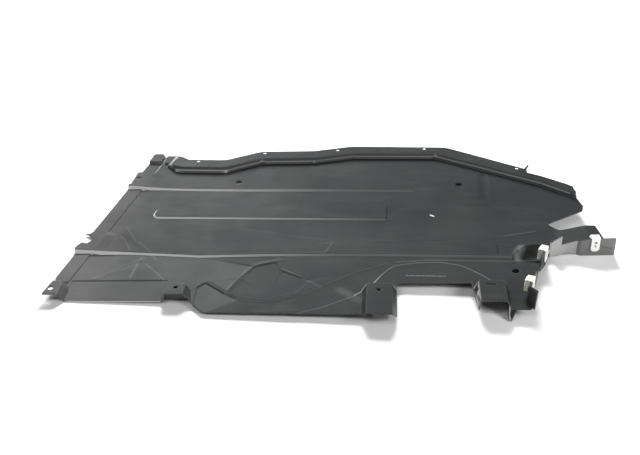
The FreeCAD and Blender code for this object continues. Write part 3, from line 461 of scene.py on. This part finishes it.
# Painted highlight of the front-facing faces, from the attribute made above
highlight_mask = tree.nodes.new("ShaderNodeAttribute")
highlight_mask.attribute_name = "painted_highlight"
highlight_cover = math_node(tree, "MULTIPLY", highlight_mask.outputs["Fac"], highlight_share)
color = mix_colors(tree, highlight_cover, color, scuff_and_highlight_grey)
color = mix_colors(tree, lines_value(tree, place, lines_group("pale_lines", pale_lines)), color, scuff_and_highlight_grey)
color = mix_colors(tree, lines_value(tree, place, lines_group("dark_lines", dark_lines)), color, shade_and_stain_grey)
tree.links.new(color, shader.inputs["Base Color"])

# Roughness, and the height of grain, slow waves and pressed lines
clouds = noise_node(tree, place, size=0.05, detail=6.0)
roughness = ramp_node(tree, clouds, 0.3, 0.7, to_low=sheen_roughness, to_high=dull_roughness)
tree.links.new(roughness, shader.inputs["Roughness"])
grain = math_node(tree, "MULTIPLY", noise_node(tree, place, size=0.0012, detail=3.0), grain_height)
waves = math_node(tree, "MULTIPLY", noise_node(tree, place, size=0.16, detail=2.0), wave_height)
pressed = lines_value(tree, place, lines_group("pressed_lines", pressed_lines))
height = math_node(tree, "ADD", math_node(tree, "ADD", grain, waves), pressed)
connect_bump(tree, shader, edge, height)

sheet.data.materials.append(shield_plastic)
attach(sheet, "root")
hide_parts("shield_panel")

# Clip nuts: three push-on nuts of white nylon, each a U of two legs with a ribbed screw block.
# They sit over the arm's front wall, the wall beside the bowl and the side wall behind the nose.
nylon_white = (0.94, 0.94, 0.92, 1.0)
nylon_ivory = (0.86, 0.85, 0.74, 1.0)
nylon_yellow = (0.68, 0.66, 0.5, 1.0)
grime = (0.3, 0.29, 0.26, 1.0)
grime_share = 0.35
clip_corner_radius = 0.0007
clip_grain_height = 0.00006


def nylon(name, body, aged):
    """Moulded nylon that clouds from a body tone to an aged one, with grime in small spots."""
    material, tree, shader, place = new_material(name)
    edge = corner_node(tree, clip_corner_radius)
    ageing = ramp_node(tree, noise_node(tree, place, size=0.012, detail=4.0), 0.42, 0.7)
    tone = mix_colors(tree, ageing, body, aged)
    spots = ramp_node(tree, noise_node(tree, place, size=0.004, detail=4.0), 0.58, 0.75, to_high=grime_share)
    tree.links.new(mix_colors(tree, spots, tone, grime), shader.inputs["Base Color"])
    shader.inputs["Roughness"].default_value = 0.42
    shader.inputs["Subsurface Weight"].default_value = 0.1
    shader.inputs["Subsurface Radius"].default_value = (0.002, 0.0018, 0.0012)
    grain = math_node(tree, "MULTIPLY", noise_node(tree, place, size=0.0015, detail=3.0), clip_grain_height)
    connect_bump(tree, shader, edge, grain)
    return material


white_nylon = nylon("white nylon of the clip nuts", nylon_white, nylon_ivory)
aged_nylon = nylon("yellowed nylon of the side clip nut", nylon_ivory, nylon_yellow)
for node, name, material in (("arm_clip_nut", "arm_clip", white_nylon),
                             ("bowl_clip_nut", "bowl_clip", white_nylon),
                             ("side_clip_nut", "side_clip", aged_nylon)):
    clip = joined_copy(node, name, crisp_degrees=30)
    clip.data.materials.append(material)
    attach(clip, "root")
    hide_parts(node)

# Studio: a plain pale floor under soft light from behind, from the front left and from the right,
# and the camera at the height and angle from which the shield is seen.
floor_half_size = 6.0
floor_mesh = bpy.data.meshes.new("studio_floor")
bm = bmesh.new()
bmesh.ops.create_grid(bm, x_segments=1, y_segments=1, size=floor_half_size)
bm.to_mesh(floor_mesh)
bm.free()
floor = bpy.data.objects.new("studio_floor", floor_mesh)
scene.collection.objects.link(floor)
floor_paint = bpy.data.materials.new("white studio floor")
floor_paint.use_nodes = True
floor_shader = floor_paint.node_tree.nodes["Principled BSDF"]
floor_shader.inputs["Base Color"].default_value = (0.9, 0.9, 0.9, 1.0)
floor_shader.inputs["Roughness"].default_value = 0.6
floor_mesh.materials.append(floor_paint)

world = bpy.data.worlds.new("studio")
scene.world = world
world.use_nodes = True
sky = world.node_tree.nodes["Background"]
sky.inputs["Color"].default_value = (0.97, 0.98, 1.0, 1.0)
sky.inputs["Strength"].default_value = 0.08


def soft_light(name, place, target, width, height, power, mirrored=True):
    """A large rectangular lamp that faces its target; one that isn't mirrored casts no highlights."""
    data = bpy.data.lights.new(name, "AREA")
    data.shape = "RECTANGLE"
    data.size = width
    data.size_y = height
    data.energy = power
    lamp = bpy.data.objects.new(name, data)
    lamp.location = place
    lamp.visible_glossy = mirrored
    lamp.rotation_euler = (Vector(target) - Vector(place)).to_track_quat("-Z", "Y").to_euler()
    scene.collection.objects.link(lamp)


soft_light("key softbox", (-0.1, 2.45, 1.7), (-0.1, 0.0, 0.0), 1.4, 0.9, 225.0, mirrored=False)
soft_light("right fill", (1.35, -0.75, 0.85), (0.45, -0.1, 0.0), 0.7, 0.5, 15.0, mirrored=False)
soft_light("back left softbox", (-1.5, 3.2, 2.1), (-0.2, 0.0, 0.0), 2.0, 1.6, 25.0)
soft_light("back softbox", (0.3, 3.4, 2.2), (0.0, 0.1, 0.0), 2.0, 1.6, 5.0)
soft_light("front left softbox", (-1.2, -1.05, 2.0), (-0.25, 0.0, 0.0), 1.6, 1.1, 17.0)

camera_data = bpy.data.cameras.new("camera")
camera_data.sensor_width = 36.0
camera_data.lens = 55.1
camera = bpy.data.objects.new("camera", camera_data)
camera.location = (0.05565, -1.67839, 1.12619)
camera.rotation_euler = (math.radians(56.249), 0.0, math.radians(3.397))
scene.collection.objects.link(camera)
scene.camera = camera
scene.view_settings.view_transform = "Standard"
scene.view_settings.look = "None"
